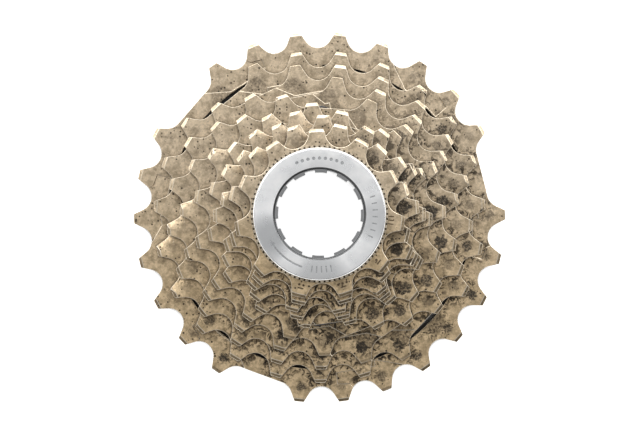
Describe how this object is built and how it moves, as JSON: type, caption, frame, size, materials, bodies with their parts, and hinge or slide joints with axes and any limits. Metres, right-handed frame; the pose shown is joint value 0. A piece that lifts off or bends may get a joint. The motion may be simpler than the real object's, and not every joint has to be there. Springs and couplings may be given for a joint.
{
  "type": "bicycle cassette sprocket",
  "caption": "Stack of toothed sprockets on black riveted carriers and spacers, clamped by a splined lockring, that slides on a freehub.",
  "frame": {"origin": "on the axle line, in the rear hub face that seats on the freehub's shoulder", "axes": "+Z along the wheel axle outwards, from the largest sprocket to the lockring; +X to the right and +Y up as seen face on from the lockring side"},
  "size_m": [0.107, 0.1066, 0.0409],
  "materials": {
    "nickel_steel": "pearl nickel plate, satin",
    "black_anodised": "black anodised, satin",
    "rivet_steel": "plain steel, satin",
    "black_plastic": "moulded, matte",
    "lockring_aluminium": "turned, bright",
    "washer_steel": "serrated, satin"
  },
  "bodies": {
    "large_cluster": {"carrier_large": "black_anodised", "sprocket_26t": "nickel_steel", "sprocket_23t": "nickel_steel", "sprocket_21t": "nickel_steel", "rivets_26t": "rivet_steel", "rivets_23t": "rivet_steel", "rivets_21t": "rivet_steel"},
    "small_cluster": {"carrier_small": "black_anodised", "sprocket_19t": "nickel_steel", "sprocket_17t": "nickel_steel", "rivets_19t": "rivet_steel", "rivets_17t": "rivet_steel"},
    "outer_spacer_17t": {"spacer_17t_15t": "black_plastic"},
    "loose_15t": {"sprocket_15t": "nickel_steel"},
    "outer_spacer_15t": {"spacer_15t_14t": "black_plastic"},
    "loose_14t": {"sprocket_14t": "nickel_steel"},
    "outer_spacer_14t": {"spacer_14t_13t": "black_plastic"},
    "loose_13t": {"sprocket_13t": "nickel_steel"},
    "loose_12t": {"sprocket_12t": "nickel_steel"},
    "loose_11t": {"sprocket_11t": "nickel_steel"},
    "washer": {"lockring_washer": "washer_steel"},
    "lockring": {"lockring": "lockring_aluminium"}
  },
  "joints": [
    {"name": "small_cluster_slide", "type": "slide", "parent": "large_cluster", "child": "small_cluster", "axis": [0, 0, 1], "range_m": [0, 0.012]},
    {"name": "outer_spacer_17t_slide", "type": "slide", "parent": "small_cluster", "child": "outer_spacer_17t", "axis": [0, 0, 1], "range_m": [0, 0.012]},
    {"name": "loose_15t_slide", "type": "slide", "parent": "outer_spacer_17t", "child": "loose_15t", "axis": [0, 0, 1], "range_m": [0, 0.012]},
    {"name": "outer_spacer_15t_slide", "type": "slide", "parent": "loose_15t", "child": "outer_spacer_15t", "axis": [0, 0, 1], "range_m": [0, 0.012]},
    {"name": "loose_14t_slide", "type": "slide", "parent": "outer_spacer_15t", "child": "loose_14t", "axis": [0, 0, 1], "range_m": [0, 0.012]},
    {"name": "outer_spacer_14t_slide", "type": "slide", "parent": "loose_14t", "child": "outer_spacer_14t", "axis": [0, 0, 1], "range_m": [0, 0.012]},
    {"name": "loose_13t_slide", "type": "slide", "parent": "outer_spacer_14t", "child": "loose_13t", "axis": [0, 0, 1], "range_m": [0, 0.012]},
    {"name": "loose_12t_slide", "type": "slide", "parent": "loose_13t", "child": "loose_12t", "axis": [0, 0, 1], "range_m": [0, 0.012]},
    {"name": "loose_11t_slide", "type": "slide", "parent": "loose_12t", "child": "loose_11t", "axis": [0, 0, 1], "range_m": [0, 0.012]},
    {"name": "washer_slide", "type": "slide", "parent": "loose_11t", "child": "washer", "axis": [0, 0, 1], "range_m": [0, 0.006]},
    {"name": "lockring_turn", "type": "hinge", "parent": "washer", "child": "lockring", "pos_m": [0, 0, 0.0389], "axis": [0, 0, 1], "range_deg": [0, 2160]}
  ],
  "couplings": [
    {"joint": "washer_slide", "follows": "lockring_turn", "m_per_rad": 0.00015915}
  ]
}
